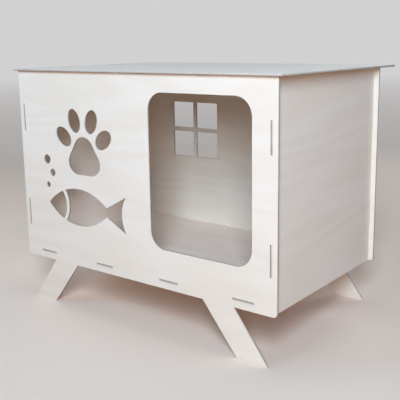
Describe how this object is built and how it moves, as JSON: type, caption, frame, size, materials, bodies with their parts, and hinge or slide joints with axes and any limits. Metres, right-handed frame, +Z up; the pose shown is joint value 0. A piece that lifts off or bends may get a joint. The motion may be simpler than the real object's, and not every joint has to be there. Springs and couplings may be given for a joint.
{
  "type": "cat house",
  "caption": "Flat-pack plywood cat house: box cabin on splayed legs with a rounded doorway, fretwork front, paned rear window and a lift-off overhanging roof.",
  "frame": {"origin": "on the ground, under the middle of the roof", "axes": "+X to the right as seen from the doorway side, +Y from the doorway to the back, +Z up"},
  "size_m": [0.514, 0.345, 0.3875],
  "materials": {
    "birch_plywood": "bare sanded birch plywood with lightly toasted laser-cut edges"
  },
  "bodies": {
    "house": {"front_panel": "birch_plywood", "back_panel": "birch_plywood", "left_side_panel": "birch_plywood", "right_side_panel": "birch_plywood", "floor_panel": "birch_plywood"},
    "roof": {"roof_panel": "birch_plywood"}
  },
  "joints": [
    {"name": "roof_lift", "type": "slide", "parent": "house", "child": "roof", "axis": [0, 0, 1], "range_m": [0, 0.15]}
  ]
}
